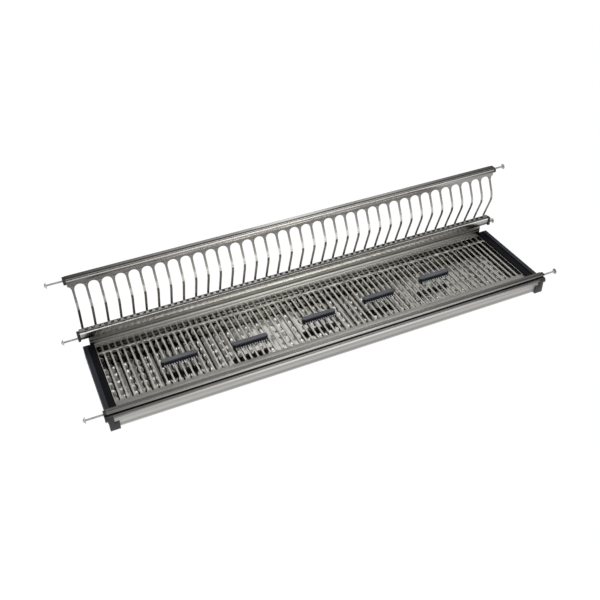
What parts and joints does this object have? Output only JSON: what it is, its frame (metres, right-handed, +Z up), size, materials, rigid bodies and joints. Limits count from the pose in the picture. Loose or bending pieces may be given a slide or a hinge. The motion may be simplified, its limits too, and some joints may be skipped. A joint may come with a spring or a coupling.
{
  "type": "cabinet dish rack",
  "caption": "Steel dish rack for a wall cabinet: a plate comb between rails, a slotted glass shelf with sliding clips, and a drip tray that pulls out below.",
  "frame": {"origin": "under the middle of the rack's box, on the plane that its side runners stand on", "axes": "+X along the rails to the right-hand end seen from the front, +Y from the front to the wall, +Z up"},
  "size_m": [0.9298, 0.2112, 0.1745],
  "materials": {
    "sheet_steel": "bright brushed stainless sheet",
    "rail_steel": "satin, brushed along the rail",
    "embossed_steel": "embossed stainless sheet",
    "satin_steel": "satin, brushed along the front",
    "black_plastic": "moulded, slightly glossy",
    "clip_plastic": "moulded, matte blue-grey",
    "zinc_steel": "zinc plated"
  },
  "bodies": {
    "rack": {"top_rail": "rail_steel", "top_cap_left": "black_plastic", "top_cap_right": "black_plastic", "plate_comb": "sheet_steel", "middle_rail": "rail_steel", "middle_cap_left": "black_plastic", "middle_cap_right": "black_plastic", "glass_shelf": "sheet_steel", "front_rail": "rail_steel", "front_cap_left": "black_plastic", "front_cap_right": "black_plastic", "side_runner_left": "black_plastic", "side_runner_right": "black_plastic"},
    "tray": {"tray_pan": "embossed_steel", "tray_rear": "embossed_steel", "tray_front": "satin_steel", "tray_strip_left": "black_plastic", "tray_strip_right": "black_plastic", "tray_cap_left": "black_plastic", "tray_cap_right": "black_plastic"},
    "clip_1": {"glass_clip_1": "clip_plastic"},
    "clip_2": {"glass_clip_2": "clip_plastic"},
    "clip_3": {"glass_clip_3": "clip_plastic"},
    "clip_4": {"glass_clip_4": "clip_plastic"},
    "clip_5": {"glass_clip_5": "clip_plastic"},
    "washer_left_top_set": {"washer_left_top": "zinc_steel"},
    "screw_left_top_set": {"screw_left_top": "zinc_steel"},
    "washer_left_middle_set": {"washer_left_middle": "zinc_steel"},
    "screw_left_middle_set": {"screw_left_middle": "zinc_steel"},
    "washer_left_front_set": {"washer_left_front": "zinc_steel"},
    "screw_left_front_set": {"screw_left_front": "zinc_steel"},
    "washer_right_top_set": {"washer_right_top": "zinc_steel"},
    "screw_right_top_set": {"screw_right_top": "zinc_steel"},
    "washer_right_middle_set": {"washer_right_middle": "zinc_steel"},
    "screw_right_middle_set": {"screw_right_middle": "zinc_steel"},
    "washer_right_front_set": {"washer_right_front": "zinc_steel"},
    "screw_right_front_set": {"screw_right_front": "zinc_steel"}
  },
  "joints": [
    {"name": "tray_slide", "type": "slide", "parent": "rack", "child": "tray", "axis": [0, -1, 0], "range_m": [0, 0.15]},
    {"name": "clip_1_slide", "type": "slide", "parent": "rack", "child": "clip_1", "axis": [0, 1, 0], "range_m": [-0.0462, 0.0669]},
    {"name": "clip_2_slide", "type": "slide", "parent": "rack", "child": "clip_2", "axis": [0, 1, 0], "range_m": [-0.0345, 0.0786]},
    {"name": "clip_3_slide", "type": "slide", "parent": "rack", "child": "clip_3", "axis": [0, 1, 0], "range_m": [-0.0449, 0.0682]},
    {"name": "clip_4_slide", "type": "slide", "parent": "rack", "child": "clip_4", "axis": [0, 1, 0], "range_m": [-0.0501, 0.063]},
    {"name": "clip_5_slide", "type": "slide", "parent": "rack", "child": "clip_5", "axis": [0, 1, 0], "range_m": [-0.0591, 0.054]},
    {"name": "screw_left_top_feed", "type": "slide", "parent": "rack", "child": "washer_left_top_set", "axis": [1, 0, 0], "range_m": [0, 0.0265]},
    {"name": "screw_left_top_turn", "type": "hinge", "parent": "washer_left_top_set", "child": "screw_left_top_set", "pos_m": [-0.432, 0.0993, 0.169], "axis": [1, 0, 0], "range_deg": [0, 6815]},
    {"name": "screw_left_middle_feed", "type": "slide", "parent": "rack", "child": "washer_left_middle_set", "axis": [1, 0, 0], "range_m": [0, 0.0245]},
    {"name": "screw_left_middle_turn", "type": "hinge", "parent": "washer_left_middle_set", "child": "screw_left_middle_set", "pos_m": [-0.432, 0.08985, 0.0492], "axis": [1, 0, 0], "range_deg": [0, 6300]},
    {"name": "screw_left_front_feed", "type": "slide", "parent": "rack", "child": "washer_left_front_set", "axis": [1, 0, 0], "range_m": [0, 0.0285]},
    {"name": "screw_left_front_turn", "type": "hinge", "parent": "washer_left_front_set", "child": "screw_left_front_set", "pos_m": [-0.432, -0.0938, 0.03075], "axis": [1, 0, 0], "range_deg": [0, 7329]},
    {"name": "screw_right_top_feed", "type": "slide", "parent": "rack", "child": "washer_right_top_set", "axis": [-1, 0, 0], "range_m": [0, 0.0225]},
    {"name": "screw_right_top_turn", "type": "hinge", "parent": "washer_right_top_set", "child": "screw_right_top_set", "pos_m": [0.432, 0.0993, 0.169], "axis": [-1, 0, 0], "range_deg": [0, 5786]},
    {"name": "screw_right_middle_feed", "type": "slide", "parent": "rack", "child": "washer_right_middle_set", "axis": [-1, 0, 0], "range_m": [0, 0.0085]},
    {"name": "screw_right_middle_turn", "type": "hinge", "parent": "washer_right_middle_set", "child": "screw_right_middle_set", "pos_m": [0.432, 0.08985, 0.0492], "axis": [-1, 0, 0], "range_deg": [0, 2186]},
    {"name": "screw_right_front_feed", "type": "slide", "parent": "rack", "child": "washer_right_front_set", "axis": [-1, 0, 0], "range_m": [0, 0.0285]},
    {"name": "screw_right_front_turn", "type": "hinge", "parent": "washer_right_front_set", "child": "screw_right_front_set", "pos_m": [0.432, -0.0938, 0.03075], "axis": [-1, 0, 0], "range_deg": [0, 7329]}
  ],
  "couplings": [
    {"joint": "screw_left_top_turn", "follows": "screw_left_top_feed", "rad_per_m": 4488},
    {"joint": "screw_left_middle_turn", "follows": "screw_left_middle_feed", "rad_per_m": 4488},
    {"joint": "screw_left_front_turn", "follows": "screw_left_front_feed", "rad_per_m": 4488},
    {"joint": "screw_right_top_turn", "follows": "screw_right_top_feed", "rad_per_m": 4488},
    {"joint": "screw_right_middle_turn", "follows": "screw_right_middle_feed", "rad_per_m": 4488},
    {"joint": "screw_right_front_turn", "follows": "screw_right_front_feed", "rad_per_m": 4488}
  ]
}
